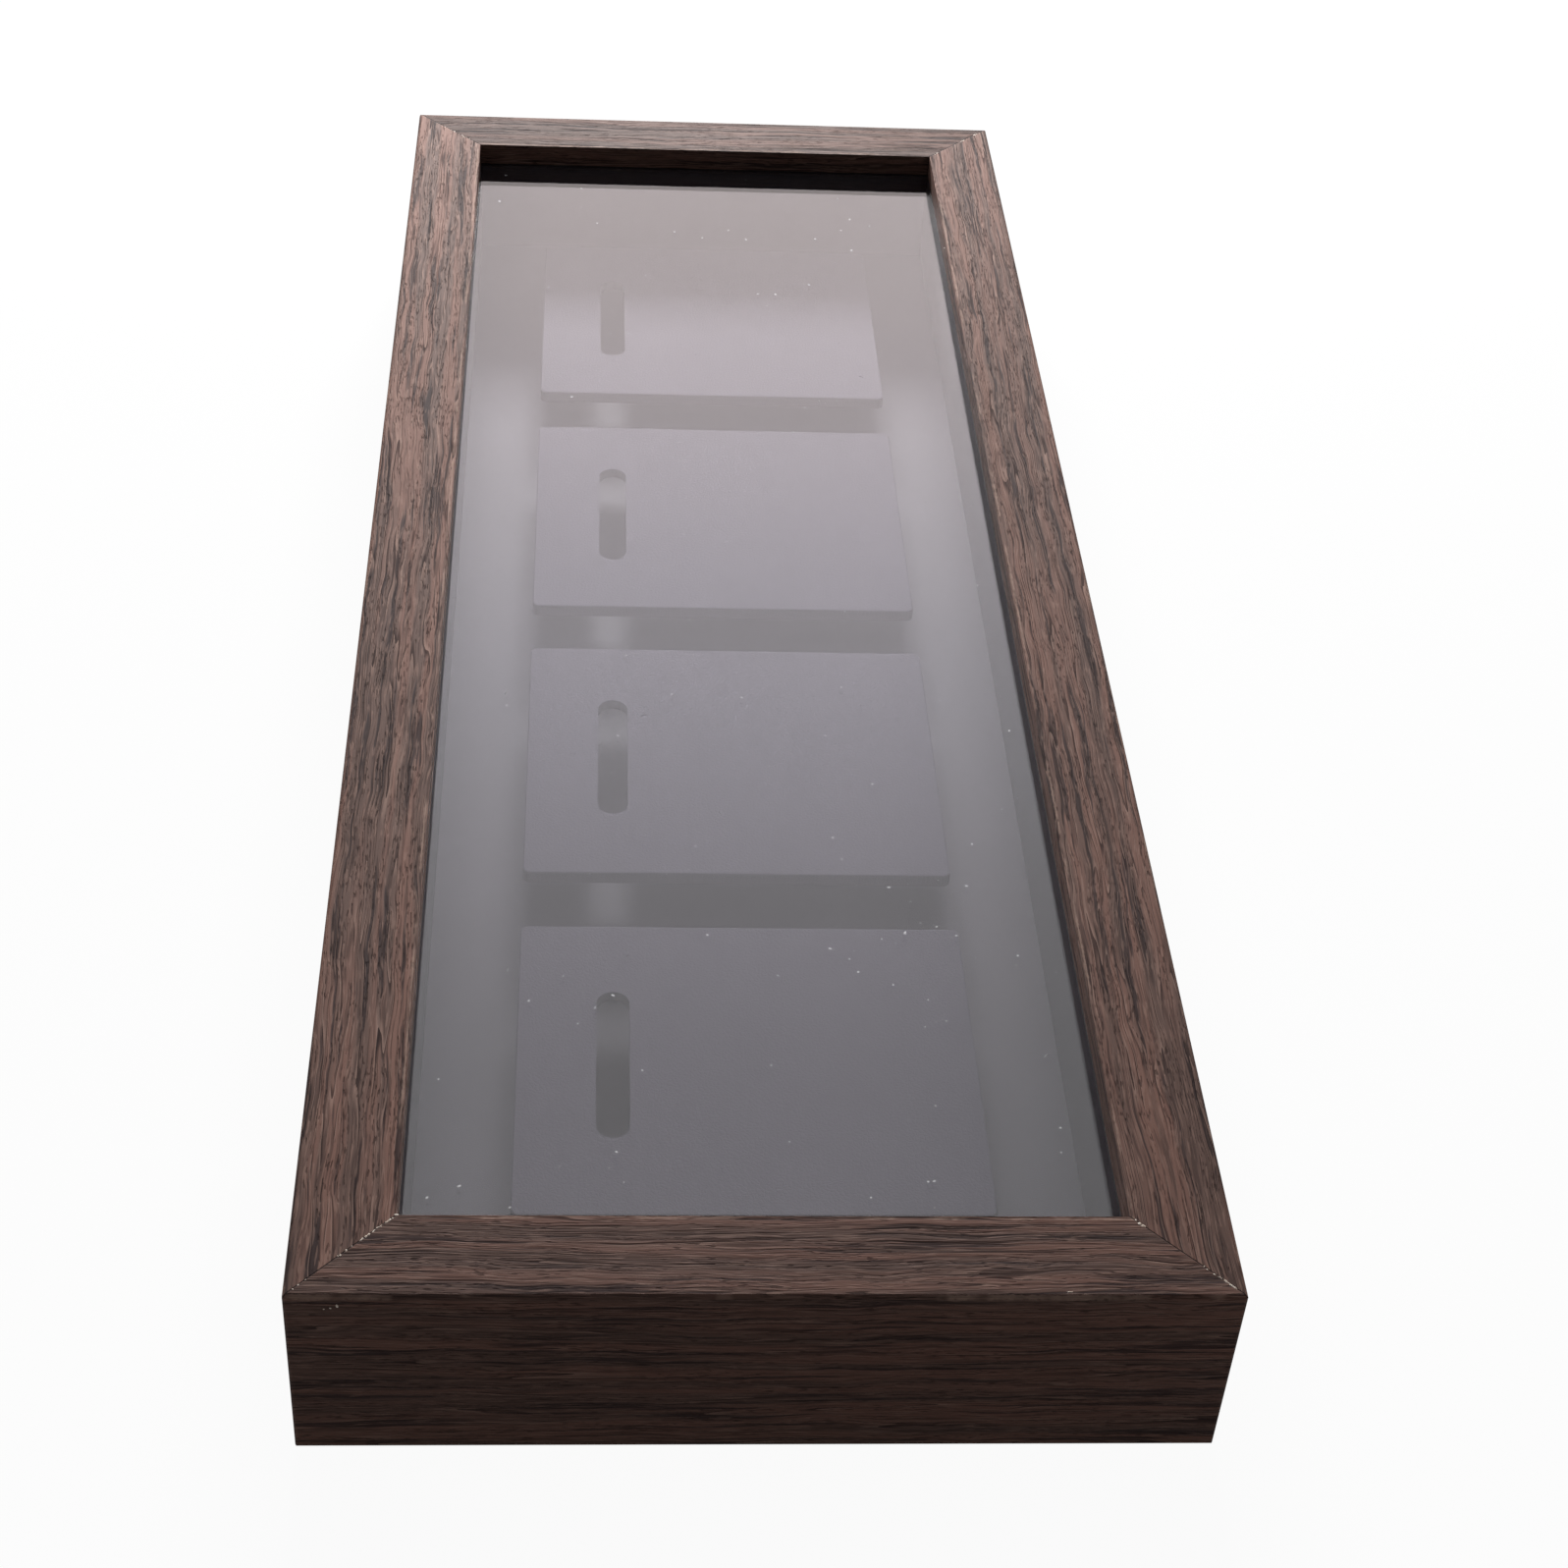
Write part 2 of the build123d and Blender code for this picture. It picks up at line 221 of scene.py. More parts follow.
def make_wood_grain():
    """A printed and embossed dark wood foil. X of its vector runs along the grain."""
    g = Group(
        "wood_grain",
        {"Vector": "vector"},
        {"Color": "colour", "Roughness": "value", "Height": "value"},
    )
    place = g.vector("MULTIPLY", g.given["Vector"], (PER_MM, PER_MM, 0))
    wander = g.noise(g.vector("MULTIPLY", place, (1 / 120, 1 / 26, 0)), detail=1.0, flat=True)
    waver = g.noise(g.vector("MULTIPLY", place, (1 / 20, 1 / 8, 0)), detail=1.0, flat=True)
    shift = g.math("MULTIPLY_ADD", wander, 3.5, g.math("MULTIPLY", waver, 1.8))
    bent = g.vector("ADD", place, g.join(0.0, shift))

    def streaks(length, width, start, detail=2.0):
        """Noise drawn out along the grain, its waves this long and wide in millimetres."""
        there = g.vector("ADD", g.vector("MULTIPLY", bent, (1 / length, 1 / width, 0)), (start, start, 0))
        return g.noise(there, detail=detail, flat=True)

    bands = g.fade(streaks(180, 4.2, 3, detail=1.0), 0.36, 0.64)
    veins = g.fade(streaks(60, 1.7, 23, detail=4.0), 0.33, 0.48)
    lines = g.fade(streaks(22, 0.60, 37, detail=2.0), 0.36, 0.52)
    ridge_print_and_highlight = g.fade(streaks(8.0, 0.55, 53), 0.54, 0.68)
    porous = g.fade(streaks(26, 2.2, 61), 0.44, 0.58)
    pores = g.math("MULTIPLY", porous, g.fade(streaks(3.4, 0.40, 71, detail=1.0), 0.57, 0.70))
    # Contours of a slow noise make long embossed lines, each with a painted highlight beside it
    rings = g.math("FRACT", g.math("MULTIPLY", streaks(260, 6.5, 83, detail=1.5), 15.0))
    unbroken = g.fade(streaks(30, 2.6, 97), 0.42, 0.56)
    grooves = g.math("MULTIPLY", unbroken, g.fade(rings, 0.05, 0.24, 1.0, 0.0))
    painted_highlight_edges = g.math("MULTIPLY", unbroken, g.fade(rings, 0.76, 0.98))

    colour = g.mix(bands, srgb(120, 89, 79), srgb(96, 75, 68))
    colour = g.mix(g.fade(veins, 0.0, 1.0, 0.85, 0.0), colour, srgb(44, 35, 36))
    colour = g.mix(g.fade(lines, 0.0, 1.0, 0.44, 0.0), colour, srgb(48, 37, 35))
    # The ridges are paler: partly pale print, partly a painted highlight on the embossed ridges
    colour = g.mix(g.math("MULTIPLY", ridge_print_and_highlight, 0.35), colour, srgb(152, 122, 110))
    # Painted highlight: a pale edge beside each embossed line
    colour = g.mix(g.math("MULTIPLY", painted_highlight_edges, 0.45), colour, srgb(162, 133, 121))
    colour = g.mix(g.math("MULTIPLY", grooves, 0.68), colour, srgb(38, 28, 28))
    colour = g.mix(g.math("MULTIPLY", pores, 0.60), colour, srgb(32, 24, 23))
    height = g.math("MULTIPLY_ADD", veins, 0.3, g.math("MULTIPLY", lines, 0.3))
    height = g.math("MULTIPLY_ADD", ridge_print_and_highlight, 0.25, height)
    height = g.math("MULTIPLY_ADD", g.math("MAXIMUM", pores, grooves), -0.6, height)
    g.give(Color=colour, Roughness=g.fade(height, -0.3, 0.7, 0.85, 0.70), Height=height)
    return g


def make_worn_line():
    """A ragged line of wear, where a distance passes through zero."""
    g = Group(
        "worn_line",
        {"Vector": "vector", "Distance": "value", "Width": "value", "Cover": "value"},
        {"Mask": "value"},
    )
    place = g.vector("MULTIPLY", g.given["Vector"], (PER_MM, PER_MM, PER_MM))
    long_noise = g.noise(g.vector("MULTIPLY", place, (1 / 14, 1 / 14, 1 / 14)), detail=3.0)
    fine_noise = g.noise(g.vector("MULTIPLY", place, (1 / 1.3, 1 / 1.3, 1 / 1.3)), detail=2.0)
    away = g.math("DIVIDE", g.math("ABSOLUTE", g.given["Distance"]), g.given["Width"])
    ragged = g.math("MULTIPLY_ADD", g.math("SUBTRACT", fine_noise, 0.5), 1.6, away)
    near = g.fade(ragged, 0.35, 1.0, 1.0, 0.0)
    there = g.math("ADD", long_noise, g.math("SUBTRACT", g.given["Cover"], 0.5))
    g.give(Mask=g.math("MULTIPLY", near, g.fade(there, 0.44, 0.56)))
    return g


def make_leather_grain():
    """The pebbled grain of a leather cloth, its pebbles Size across."""
    g = Group(
        "leather_grain",
        {"Vector": "vector", "Size": "value"},
        {"Height": "value", "Crease": "value", "Mottle": "value"},
    )
    scale = g.math("DIVIDE", 1.0, g.given["Size"])
    place = g.vector("MULTIPLY", g.given["Vector"], g.join(scale, scale, scale))
    stir = g.noise(g.vector("MULTIPLY", place, (0.7, 0.7, 0.7)), detail=2.0)
    place = g.vector("ADD", place, g.join(stir, g.math("MULTIPLY", stir, -1.3)))
    edge = g.cells(place, feature="DISTANCE_TO_EDGE")
    small = g.cells(g.vector("MULTIPLY", place, (2.3, 2.3, 2.3)), feature="DISTANCE_TO_EDGE")
    pebble = g.fade(edge, 0.0, 0.28)
    height = g.math("MULTIPLY_ADD", g.fade(small, 0.0, 0.3), 0.35, g.math("MULTIPLY", pebble, 0.65))
    mottle = g.noise(g.vector("MULTIPLY", place, (0.11, 0.11, 0.11)), detail=3.0)
    g.give(Height=height, Crease=g.math("SUBTRACT", 1.0, pebble), Mottle=mottle)
    return g


def make_fibres():
    """Pressed fibres that lie in all directions, as in board and paper."""
    g = Group("fibres", {"Vector": "vector", "Size": "value"}, {"Mask": "value", "Speckle": "value"})
    scale = g.math("DIVIDE", 1.0, g.given["Size"])
    place = g.vector("MULTIPLY", g.given["Vector"], g.join(scale, scale, scale))
    swirl = g.noise(g.vector("MULTIPLY", place, (0.12, 0.12, 0.12)), detail=1.0)
    other_swirl = g.noise(g.vector("MULTIPLY", place, (0.09, 0.09, 0.09)), detail=1.0)
    shift = g.join(g.math("MULTIPLY", swirl, 9.0), g.math("MULTIPLY", other_swirl, -10.0))
    place = g.vector("ADD", place, shift)
    one_way = g.noise(g.vector("MULTIPLY", place, (0.16, 1.0, 0.6)), detail=2.0)
    other_way = g.noise(g.vector("MULTIPLY", place, (1.0, 0.16, 0.6)), detail=2.0)
    mask = g.fade(g.math("MAXIMUM", one_way, other_way), 0.50, 0.70)
    g.give(Mask=mask, Speckle=g.noise(g.vector("MULTIPLY", place, (1.7, 1.7, 1.7)), detail=2.0))
    return g


def make_smudges():
    """Slow cloudy patches, for handling marks and a trace of dust."""
    g = Group("smudges", {"Vector": "vector", "Size": "value"}, {"Mask": "value"})
    scale = g.math("DIVIDE", 1.0, g.given["Size"])
    place = g.vector("MULTIPLY", g.given["Vector"], g.join(scale, scale, scale))
    g.give(Mask=g.fade(g.noise(place, detail=4.0, roughness=0.6), 0.40, 0.68))
    return g


WRAP_PLACES = make_wrap_places()
WOOD_GRAIN = make_wood_grain()
WORN_LINE = make_worn_line()
LEATHER_GRAIN = make_leather_grain()
FIBRES = make_fibres()
SMUDGES = make_smudges()


# Materials


def rail_reach(outward):
    """How far a rail's outer face is from the middle of the case."""
    return CASE_HIGH.dot(Vector(map(abs, outward)))


def worn_edges(m, inset, height):
    """Where the foil is rubbed pale: along the rounded lip and along the outer edge of the face."""

    def rubbed(middle, width, cover):
        distance = m.math("SUBTRACT", inset, middle)
        return m.group(WORN_LINE, Vector=m.place, Distance=distance, Width=width, Cover=cover)["Mask"]

    lip = rubbed(FACE_WIDTH - 0.45 * LIP_RADIUS, 0.35 * MM, 0.50)
    outer = rubbed(0.3 * MM, 0.5 * MM, 0.42)
    on_top = m.fade(height, FACE - 1.6 * MM, FACE - 0.6 * MM)
    return m.math("MULTIPLY", m.math("MAXIMUM", lip, outer), on_top)


def wood_wrap(name, outward, grain, painted_shade, start):
    """The foil on one rail, with its mitre lines, worn edges, painted shade and its cut edge on the back.
    """
    m = Material(name + "_wrap", Specular_IOR_Level=0.05)
    places = {"Outward": outward, "Grain": grain, "Reach": rail_reach(outward), "End": CASE_HIGH.dot(grain)}
    wrap = m.group(WRAP_PLACES, Vector=m.place, Start=start, **places)
    wood = m.group(WOOD_GRAIN, Vector=wrap["Foil"])
    height = m.split(m.place)["Z"]
    wear = worn_edges(m, wrap["Inset"], height)
    mitre_line = m.fade(wrap["Mitre"], 0.06 * MM, 0.22 * MM, 0.75, 0.0)
    at_back = m.fade(height, 0.2 * MM, 0.4 * MM, 1.0, 0.0)
    bare = m.math("MULTIPLY", at_back, m.fade(wrap["Inset"], 2.6 * MM, 3.0 * MM))

    # Painted shade: the rail's whole foil darkens towards a deep brown by the rail's own share
    colour = m.mix(painted_shade, wood["Color"], srgb(26, 14, 12))
    colour = m.mix(m.math("MULTIPLY", wear, 0.45), colour, srgb(168, 142, 128))
    colour = m.mix(mitre_line, colour, srgb(30, 24, 24))
    colour = m.mix(bare, colour, srgb(172, 143, 110))
    m.finish(Base_Color=colour, Roughness=wood["Roughness"])
    m.relief(m.math("MULTIPLY_ADD", mitre_line, -1.5, wood["Height"]), 0.12 * MM)
    return m.material


def core_board():
    """The raw board of the mouldings, seen from behind."""
    m = Material("core_board", Roughness=0.85, Specular_IOR_Level=0.3)
    fibre = m.group(FIBRES, Vector=m.place, Size=0.5 * MM)
    colour = m.mix(fibre["Mask"], srgb(170, 141, 108), srgb(140, 112, 82))
    colour = m.mix(m.fade(fibre["Speckle"], 0.55, 0.75), colour, srgb(190, 164, 130))
    m.finish(Base_Color=colour)
    m.relief(fibre["Speckle"], 0.08 * MM)
    return m.material


def clear_glass():
    """The pane. Lamps and bounced light pass straight through it."""
    m = Material("clear_glass", Roughness=0.0, IOR=1.5, Transmission_Weight=1.0)
    m.finish(Base_Color=(0.975, 0.955, 0.99, 1))
    path = m.node("LightPath", {}).outputs
    straight = m.math("MAXIMUM", path["Is Shadow Ray"], path["Is Diffuse Ray"])
    open_air = m.node("BsdfTransparent", {"Color": (0.93, 0.94, 0.935, 1)}).outputs[0]
    both = m.node("MixShader", {0: straight, 1: m.shader.outputs[0], 2: open_air}).outputs[0]
    m.put(m.tree.nodes["Material Output"].inputs["Surface"], both)
    return m.material


def plaque_leather():
    """The fine black leather cloth on the plaques."""
    m = Material("plaque_leather", Specular_IOR_Level=0.05)
    grain = m.group(LEATHER_GRAIN, Vector=m.place, Size=1.1 * MM)
    # Painted shade: the creases between the pebbles are darker than the pebbles
    colour = m.mix(grain["Crease"], srgb(66, 62, 72), srgb(56, 52, 62))
    colour = m.mix(m.fade(grain["Mottle"], 0.4, 0.65), colour, srgb(61, 57, 67))
    m.finish(Base_Color=colour, Roughness=m.fade(grain["Height"], 0.1, 0.9, 0.85, 0.70))
    m.relief(grain["Height"], 0.045 * MM)
    return m.material


def backing_cloth():
    """The smooth black cover of the board behind the plaques."""
    m = Material("backing_cloth", Specular_IOR_Level=0.1)
    fibre = m.group(FIBRES, Vector=m.place, Size=0.35 * MM)
    patches = m.group(SMUDGES, Vector=m.place, Size=30 * MM)["Mask"]
    colour = m.mix(fibre["Mask"], srgb(49, 46, 52), srgb(55, 51, 58))
    colour = m.mix(m.math("MULTIPLY", patches, 0.3), colour, srgb(60, 56, 63))
    m.finish(Base_Color=colour, Roughness=m.fade(fibre["Speckle"], 0.3, 0.7, 0.80, 0.68))
    m.relief(fibre["Speckle"], 0.05 * MM)
    return m.material


def liner_paper():
    """The black paper on the strips that line the walls."""
    m = Material("liner_paper", Specular_IOR_Level=0.3)
    fibre = m.group(FIBRES, Vector=m.place, Size=0.4 * MM)
    m.finish(Base_Color=m.mix(fibre["Mask"], srgb(40, 38, 42), srgb(48, 45, 50)))
    m.finish(Roughness=m.fade(fibre["Speckle"], 0.3, 0.7, 0.70, 0.55))
    m.relief(fibre["Speckle"], 0.04 * MM)
    return m.material


def pressed_board(name, base, fibre_colour, speckle_colour, size, roughness):
    """A pressed board with fibres and specks of other colours."""
    m = Material(name, Specular_IOR_Level=0.4)
    fibre = m.group(FIBRES, Vector=m.place, Size=size)
    patches = m.group(SMUDGES, Vector=m.place, Size=45 * MM)["Mask"]
    colour = m.mix(m.math("MULTIPLY", fibre["Mask"], 0.8), base, fibre_colour)
    colour = m.mix(m.fade(fibre["Speckle"], 0.60, 0.72), colour, speckle_colour)
    colour = m.mix(m.math("MULTIPLY", patches, 0.25), colour, fibre_colour)
    m.finish(Base_Color=colour, Roughness=m.fade(patches, 0.0, 1.0, roughness, roughness + 0.15))
    m.relief(fibre["Speckle"], 0.06 * MM)
    return m.material


def spacer_wood():
    """The black-stained strips under the plaques."""
    m = Material("spacer_wood", Roughness=0.8, Specular_IOR_Level=0.2)
    waves_to_a_metre = (60, 900, 900)
    rings = m.noise(m.vector("MULTIPLY", m.place, waves_to_a_metre), detail=3.0)
    m.finish(Base_Color=m.mix(m.fade(rings, 0.4, 0.6), srgb(50, 46, 48), srgb(36, 33, 35)))
    m.relief(rings, 0.08 * MM)
    return m.material


def plated_steel():
    """Bright zinc-plated steel, faintly mottled and rubbed."""
    m = Material("plated_steel", Metallic=1.0)
    spangles_to_a_metre, ripples_to_a_metre = (900, 900, 900), (1600, 1600, 1600)
    spangle = m.cells(m.vector("MULTIPLY", m.place, spangles_to_a_metre), output="Color")
    rubs = m.group(SMUDGES, Vector=m.place, Size=2.5 * MM)["Mask"]
    tone = m.split(spangle)["X"]
    colour = m.mix(tone, srgb(196, 198, 202), srgb(214, 215, 217))
    m.finish(Base_Color=m.mix(m.math("MULTIPLY", rubs, 0.4), colour, srgb(176, 176, 176)))
    m.finish(Roughness=m.math("MULTIPLY_ADD", rubs, 0.14, m.fade(tone, 0.0, 1.0, 0.24, 0.34)))
    m.relief(m.noise(m.vector("MULTIPLY", m.place, ripples_to_a_metre), detail=2.0), 0.012 * MM)
    return m.material


def pale_flake(name, colour, other):
    """Loose or bare specks of two colours: dust, and the ground coat where the foil is chipped."""
    m = Material(name, Roughness=0.8)
    spots_to_a_metre = (1500, 1500, 1500)
    spots = m.noise(m.vector("MULTIPLY", m.place, spots_to_a_metre), detail=1.0)
    m.finish(Base_Color=m.mix(m.fade(spots, 0.4, 0.6), colour, other))
    return m.material


def paint(material, *names):
    """Gives CAD nodes one material, in place of the plain one they came with."""
    for name in names:
        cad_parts[name].data.materials.clear()
        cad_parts[name].data.materials.append(material)


def named(*starts):
    """The CAD nodes whose names start in one of these ways."""
    return [name for name in sorted(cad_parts) if name.startswith(starts)]


OUTER_EDGE = 1.2 * MM  # a face whose middle lies no deeper than this is on a rail's outside
HAIR = 0.05 * MM
FOIL_STEP = 0.9  # how far apart on the printed foil the rails' lengths of it are cut


def is_wrapped(face, outward, grain):
    """Whether foil covers a rail's face: its outside, its lip and the rim that the case lies on."""
    outside = rail_reach(outward) - face.center.dot(outward) < OUTER_EDGE
    lip = face.center.z > PANE_FRONT + HAIR
    rim = face.center.z < HAIR
    mitre_cut = abs(face.normal.dot(grain)) > 0.5 and face.normal.dot(outward) < -0.5
    return rim or ((outside or lip) and not mitre_cut)


def paint_rails():
    """Each rail has its own stretch of foil, and raw board behind and on its mitres."""
    core = core_board()
    for number, (name, (outward, grain, painted_shade)) in enumerate(RAILS.items(), start=1):
        paint(wood_wrap(name, outward, grain, painted_shade, start=FOIL_STEP * number), name)
        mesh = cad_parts[name].data
        mesh.materials.append(core)
        for face in mesh.polygons:
            face.material_index = 0 if is_wrapped(face, outward, grain) else 1


PLAQUES = range(1, 5)


def paint_nodes():
    paint_rails()
    paint(clear_glass(), "pane")
    paint(plaque_leather(), *[f"plaque_{n}_cover" for n in PLAQUES])
    paint(backing_cloth(), "display_board_cover")
    paint(liner_paper(), *named("liner_"))
    blacks = (srgb(52, 49, 52), srgb(42, 40, 42), srgb(70, 67, 70))
    black = pressed_board("black_board", *blacks, size=0.6 * MM, roughness=0.75)
    paint(black, "display_board", *[f"plaque_{n}_board" for n in PLAQUES])
    browns = (srgb(112, 78, 50), srgb(84, 56, 35), srgb(146, 108, 72))
    paint(pressed_board("hardboard", *browns, size=0.8 * MM, roughness=0.42), "rear_panel")
    paint(spacer_wood(), *named("spacer_"))
    paint(plated_steel(), *named("button_screws", "hanger_", "turn_button_", "v_nails"))


# Small pieces that the CAD model leaves out


FLAKE_CORNERS = 7
FIBRE_SIDES = 4


def add_flake(mesh, centre, along, across, length, width, rise, draw):
    """A small ragged flake, thick in the middle and closed all round."""
    ring = []
    for corner in range(FLAKE_CORNERS):
        turn = math.tau * corner / FLAKE_CORNERS
        reach = draw.uniform(0.6, 1.0) / 2
        offset = along * (math.cos(turn) * length * reach) + across * (math.sin(turn) * width * reach)
        ring.append(mesh.verts.new(centre + offset))
    top, bottom = mesh.verts.new(centre + rise), mesh.verts.new(centre - rise)
    for a, b in zip(ring, ring[1:] + ring[:1]):
        mesh.faces.new((a, b, top))
        mesh.faces.new((b, a, bottom))


def add_fibre(mesh, points, radius):
    """A thin lint fibre through these points, with pointed ends."""
    turns = [math.tau * side / FIBRE_SIDES for side in range(FIBRE_SIDES)]
    rings = []
    for before, point, after in zip(points, points[1:], points[2:]):
        level = (after - before).normalized().cross(UP).normalized()
        offsets = [(level * math.cos(turn) + UP * math.sin(turn)) * radius for turn in turns]
        rings.append([mesh.verts.new(point + offset) for offset in offsets])
    for near, far in zip(rings, rings[1:]):
        for k in range(FIBRE_SIDES):
            following = (k + 1) % FIBRE_SIDES
            mesh.faces.new((near[k], near[following], far[following], far[k]))
    for tip, ring, turned in ((points[0], rings[0], True), (points[-1], rings[-1], False)):
        end = mesh.verts.new(tip)
        for a, b in zip(ring, ring[1:] + ring[:1]):
            mesh.faces.new((b, a, end) if turned else (a, b, end))


def new_piece(name, mesh, material):
    """An object of this mesh that rides on the case."""
    bmesh.ops.recalc_face_normals(mesh, faces=mesh.faces)
    data = bpy.data.meshes.new(name)
    mesh.to_mesh(data)
    mesh.free()
    data.materials.append(material)
    piece = bpy.data.objects.new(name, data)
    bpy.context.scene.collection.objects.link(piece)
    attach(piece, "case")


# Where the foil has chipped at each mitre: the corner, then each stretch's start and end, as insets
# from the outside of the frame in millimetres, its chips to a millimetre and their greatest length
CHIPPED = {
    (-1, -1): ((2.0, 5.0, 1.0, 0.6), (10.5, 15.0, 1.6, 0.7), (15.0, 21.4, 3.2, 1.0)),
    (1, -1): ((1.6, 6.5, 2.2, 1.8), (7.5, 8.5, 2.0, 0.8), (18.0, 21.4, 2.2, 1.2)),
    (-1, 1): ((6.0, 19.5, 0.9, 0.9),),
    (1, 1): ((3.0, 8.5, 0.9, 1.0), (8.5, 10.5, 2.6, 1.2), (18.5, 20.5, 1.6, 0.8)),
}

# Single nicks in the foil: where, the way out of the surface, and their length and width in millimetres
NICKS = (
    ((-88.8, -265.0, 47.0), "near", 0.8, 1.4),
    ((-90.2, -265.0, 46.4), "near", 0.55, 0.5),
    ((-91.6, -265.0, 46.1), "near", 0.45, 0.45),
    ((-77.9, -242.9, 50.0), "up", 1.1, 0.6),
    ((77.2, 178.3, 50.0), "up", 0.6, 1.0),
    ((62.5, -263.6, 50.0), "up", 1.6, 0.3),
)


# How far the chips stray from the mitre and how wide they are, in millimetres
CHIP_SPREAD = 0.09
CHIP_WIDTHS = (0.24, 0.55)
CHIP_RISE = 0.06 * MM  # how far the chips and nicks stand out


def add_chips(mesh, draw):
    """Chips in the foil along the four mitres."""
    for (side, end), stretches in CHIPPED.items():
        corner = Vector((side * HALF_WIDTH, end * HALF_LENGTH, FACE))
        along = Vector((-side, -end, 0)).normalized()
        across = along.cross(UP)
        for start, stop, density, longest in stretches:
            for _ in range(round((stop - start) * density)):
                inset = draw.uniform(start, stop) * MM
                centre = corner + along * inset * math.sqrt(2) + across * draw.gauss(0, CHIP_SPREAD) * MM
                length = draw.uniform(0.4, 1.0) * longest * MM
                width = draw.uniform(*CHIP_WIDTHS) * MM
                add_flake(mesh, centre, along, across, length, width, UP * CHIP_RISE, draw)


def add_nicks(mesh, draw):
    """Single nicks on the face and the near side."""
    for place, facing, length, width in NICKS:
        across, rise = (UP, Vector((0, -1, 0))) if facing == "near" else (Vector((0, 1, 0)), UP)
        centre, along = Vector(place) * MM, Vector((1, 0, 0))
        add_flake(mesh, centre, along, across, length * MM, width * MM, rise * CHIP_RISE, draw)


def make_mitre_chips():
    """The places where the pale ground under the foil shows."""
    mesh, draw = bmesh.new(), random.Random(41)
    add_chips(mesh, draw)
    add_nicks(mesh, draw)
    ground = pale_flake("chip", srgb(222, 212, 200), srgb(190, 172, 156))
    new_piece("mitre_chips", mesh, ground)


# What lies on the pane, inside these limits. One speck in four is in a cluster near one corner
DUST_X, DUST_Y = HALF_WIDTH - FACE_WIDTH - 4 * MM, HALF_LENGTH - FACE_WIDTH - 4 * MM
SPECKS = 280
SPECK_SIZES = (0.32, 0.4, 0.48, 0.6, 0.8)
SPECK_RISE = 0.03 * MM
CLUSTER_X, CLUSTER_Y = (0.045, 0.014), (-0.15, 0.03)  # the cluster's middle and spread each way

# The lint fibres that stand out most, in millimetres, and how many fainter ones there are
LINT = ((67.0, -189.0), (-61.0, -56.0), (-5.0, -104.5))
FAINT_LINT = 12
LINT_HEIGHT = PANE_FRONT + 0.09 * MM
LINT_STEPS = 6


def level_way(turn):
    """The level direction at this turn from X."""
    return Vector((math.cos(turn), math.sin(turn), 0))


def add_specks(mesh, draw):
    """Flat specks of dust."""
    for number in range(SPECKS):
        clustered = number % 4 == 0
        x = draw.gauss(*CLUSTER_X) if clustered else draw.uniform(-DUST_X, DUST_X)
        y = draw.gauss(*CLUSTER_Y) if clustered else draw.uniform(-DUST_Y, DUST_Y)
        if abs(x) > DUST_X or abs(y) > DUST_Y:
            continue
        size = draw.choice(SPECK_SIZES) * MM
        along = level_way(draw.uniform(0, math.tau))
        length = size * draw.uniform(1, 1.7)
        centre = Vector((x, y, PANE_FRONT + SPECK_RISE))
        add_flake(mesh, centre, along, along.cross(UP), length, size, UP * SPECK_RISE, draw)


def add_lint(mesh, draw):
    """Short bent fibres."""
    starts = [Vector((x, y, 0)) * MM for x, y in LINT]
    for _ in range(FAINT_LINT):
        starts.append(Vector((draw.uniform(-DUST_X, DUST_X), draw.uniform(-DUST_Y, DUST_Y), 0)))
    for number, start in enumerate(starts):
        faint = number >= len(LINT)
        turn, bend = draw.uniform(1.0, 2.4), draw.uniform(-0.35, 0.35)
        step = (draw.uniform(0.15, 0.4) if faint else 0.33) * MM
        points = [start + UP * LINT_HEIGHT]
        for _ in range(LINT_STEPS):
            points.append(points[-1] + level_way(turn) * step)
            turn += bend
        add_fibre(mesh, points, (0.05 if faint else 0.10) * MM)


def make_pane_dust():
    """Specks and a few lint fibres that lie on the pane."""
    mesh, draw = bmesh.new(), random.Random(7)
    add_specks(mesh, draw)
    add_lint(mesh, draw)
    dust = pale_flake("dust", srgb(186, 184, 187), srgb(150, 148, 152))
    new_piece("pane_dust", mesh, dust)


# Floor, light and camera


def background_share(tree):
    """1 for rays that show the background: the camera's own, and those that mirrors and glass send on."""
    path = tree.node("LightPath", {}).outputs
    through = tree.math("MAXIMUM", path["Is Glossy Ray"], path["Is Transmission Ray"])
    return tree.math("MAXIMUM", path["Is Camera Ray"], through)


FLOOR_RADIUS = 9.0
FLOOR_DROP = 0.1 * MM  # below the case's back, so that no two faces share a plane

# The floor's share of plain white grows between these distances from its middle, and shadows fade out
SHADOW_NEAR, SHADOW_FAR = 0.3, 2.0
WHITE_NEAR, WHITE_FAR = 0.95, 1.0


def make_floor():
    """A pale floor that runs into the white background and keeps a faint shadow."""
    mesh = bmesh.new()
    bmesh.ops.create_circle(mesh, cap_ends=True, segments=96, radius=FLOOR_RADIUS)
    data = bpy.data.meshes.new("floor")
    mesh.to_mesh(data)
    mesh.free()
    floor = bpy.data.objects.new("floor", data)
    floor.location.z = -FLOOR_DROP
    bpy.context.scene.collection.objects.link(floor)

    m = Material("pale_floor", Base_Color=(0.6, 0.6, 0.6, 1), Roughness=1.0, Specular_IOR_Level=0.0)
    away = m.node("VectorMath", {0: m.place}, operation="LENGTH").outputs["Value"]
    spread = m.fade(away, SHADOW_NEAR, SHADOW_FAR, WHITE_NEAR, WHITE_FAR)
    white = m.math("MULTIPLY", background_share(m), spread)
    glow = m.node("Emission", {"Color": (1, 1, 1, 1), "Strength": 1.0}).outputs[0]
    both = m.node("MixShader", {0: white, 1: m.shader.outputs[0], 2: glow}).outputs[0]
    m.put(m.tree.nodes["Material Output"].inputs["Surface"], both)
    data.materials.append(m.material)


AMBIENT = 0.20  # the room's light on the case, as a share of the white that shows behind it


